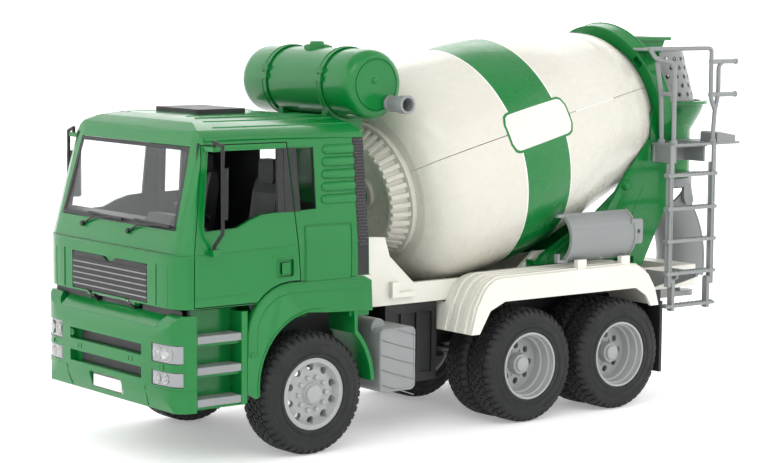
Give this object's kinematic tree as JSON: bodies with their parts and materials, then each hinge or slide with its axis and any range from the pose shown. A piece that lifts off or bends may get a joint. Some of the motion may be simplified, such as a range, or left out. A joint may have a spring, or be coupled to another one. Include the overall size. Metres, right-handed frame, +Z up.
{
  "type": "toy cement mixer",
  "caption": "Toy cement mixer truck with a turning drum, tilting cab, opening doors, folding mirrors, a swinging discharge chute and a spare chute carried on the fender.",
  "frame": {"origin": "on the ground, under the middle of the truck's box", "axes": "-X is the way the truck drives, -Y its left (driver's) side, +Z up"},
  "size_m": [0.5106, 0.1838, 0.2642],
  "materials": {
    "green_plastic": "glossy moulded",
    "white_plastic": "satin moulded, warm white",
    "drum_white": "glossy moulded, ivory with a green band",
    "black_plastic": "satin moulded",
    "grey_plastic": "satin silver grey",
    "rim_silver": "satin silver",
    "tyre": "moulded block tread",
    "clear_glazing": "clear",
    "lamp_clear": "clear lens over silver",
    "steel": "drawn rod",
    "plate_white": "blank label"
  },
  "bodies": {
    "chassis": {"chassis_frame": "black_plastic", "subframe": "white_plastic", "bumper": "green_plastic", "bumper_grilles": "black_plastic", "headlamps": "lamp_clear", "number_plate": "plate_white", "step_housings": "green_plastic", "step_treads": "grey_plastic", "front_wheel_arches": "green_plastic", "battery_box": "grey_plastic", "fuel_tank": "grey_plastic", "rear_fender_left": "white_plastic", "rear_fender_right": "white_plastic", "mudflaps": "black_plastic", "engine_block": "black_plastic", "cab_pivot_pin": "steel", "front_stand": "green_plastic", "water_tank": "green_plastic", "tank_nozzle": "grey_plastic", "tank_straps": "green_plastic", "tank_filler_cap": "green_plastic", "rear_stand": "green_plastic", "hopper": "green_plastic", "discharge_funnel": "green_plastic", "hopper_guard": "grey_plastic", "platform": "grey_plastic", "handrails": "grey_plastic", "ladder_upper": "grey_plastic", "tow_hitch": "grey_plastic"},
    "front_wheels": {"front_axle_rod": "steel", "front_rims": "rim_silver", "front_tyres": "tyre"},
    "middle_wheels": {"middle_axle_rod": "steel", "middle_rims": "rim_silver", "middle_tyres": "tyre"},
    "rear_wheels": {"rear_axle_rod": "steel", "rear_rims": "rim_silver", "rear_tyres": "tyre"},
    "cab": {"cab_shell": "green_plastic", "windscreen": "clear_glazing", "grille": "black_plastic", "wipers": "black_plastic", "dashboard": "black_plastic", "seats": "black_plastic", "air_intakes": "black_plastic", "roof_hatch": "black_plastic"},
    "steering": {"steering_wheel": "black_plastic"},
    "left_door": {"door_left": "green_plastic"},
    "right_door": {"door_right": "green_plastic"},
    "left_mirror": {"mirror_left": "black_plastic"},
    "right_mirror": {"mirror_right": "black_plastic"},
    "drum": {"drum_shell_lower": "drum_white", "drum_shell_upper": "drum_white", "drum_ring_gear": "drum_white", "mixing_blades": "drum_white"},
    "chute_collar": {"chute_swivel": "grey_plastic"},
    "chute_body": {"chute": "grey_plastic"},
    "spare_chute": {"extension_chute": "grey_plastic"},
    "ladder_foot": {"ladder_lower": "grey_plastic"}
  },
  "joints": [
    {"name": "front_wheels_spin", "type": "hinge", "parent": "chassis", "child": "front_wheels", "pos_m": [-0.1533, 0, 0.03825], "axis": [0, 1, 0], "continuous": true},
    {"name": "middle_wheels_spin", "type": "hinge", "parent": "chassis", "child": "middle_wheels", "pos_m": [0.0245, 0, 0.03825], "axis": [0, 1, 0], "continuous": true},
    {"name": "rear_wheels_spin", "type": "hinge", "parent": "chassis", "child": "rear_wheels", "pos_m": [0.1072, 0, 0.03825], "axis": [0, 1, 0], "continuous": true},
    {"name": "cab_tilt", "type": "hinge", "parent": "chassis", "child": "cab", "pos_m": [-0.2483, 0, 0.0974], "axis": [0, -1, 0], "range_deg": [0, 40]},
    {"name": "steering_turn", "type": "hinge", "parent": "cab", "child": "steering", "pos_m": [-0.2158, -0.038, 0.151], "axis": [0.5, 0, 0.866], "range_deg": [-180, 180]},
    {"name": "left_door_hinge", "type": "hinge", "parent": "cab", "child": "left_door", "pos_m": [-0.2403, -0.0789, 0.106], "axis": [0, 0, -1], "range_deg": [0, 65]},
    {"name": "right_door_hinge", "type": "hinge", "parent": "cab", "child": "right_door", "pos_m": [-0.2403, 0.0789, 0.106], "axis": [0, 0, 1], "range_deg": [0, 65]},
    {"name": "left_mirror_fold", "type": "hinge", "parent": "left_door", "child": "left_mirror", "pos_m": [-0.2289, -0.0816, 0.16], "axis": [0, 0, 1], "range_deg": [0, 50]},
    {"name": "right_mirror_fold", "type": "hinge", "parent": "right_door", "child": "right_mirror", "pos_m": [-0.2289, 0.0816, 0.16], "axis": [0, 0, -1], "range_deg": [0, 50]},
    {"name": "drum_spin", "type": "hinge", "parent": "chassis", "child": "drum", "pos_m": [-0.0933, 0, 0.1439], "axis": [0.9727, 0, 0.2323], "continuous": true},
    {"name": "chute_swing", "type": "hinge", "parent": "chassis", "child": "chute_collar", "pos_m": [0.2207, 0, 0.147], "axis": [0, 0, 1], "range_deg": [-40, 40]},
    {"name": "chute_tilt", "type": "hinge", "parent": "chute_collar", "child": "chute_body", "pos_m": [0.2287, 0, 0.134], "axis": [0, -1, 0], "range_deg": [0, 40]},
    {"name": "spare_chute_lift", "type": "slide", "parent": "chassis", "child": "spare_chute", "axis": [0, -0.7071, 0.7071], "range_m": [0, 0.06]},
    {"name": "ladder_fold", "type": "hinge", "parent": "chassis", "child": "ladder_foot", "pos_m": [0.1747, -0.0765, 0.0845], "axis": [-1, 0, 0], "range_deg": [0, 100]}
  ]
}
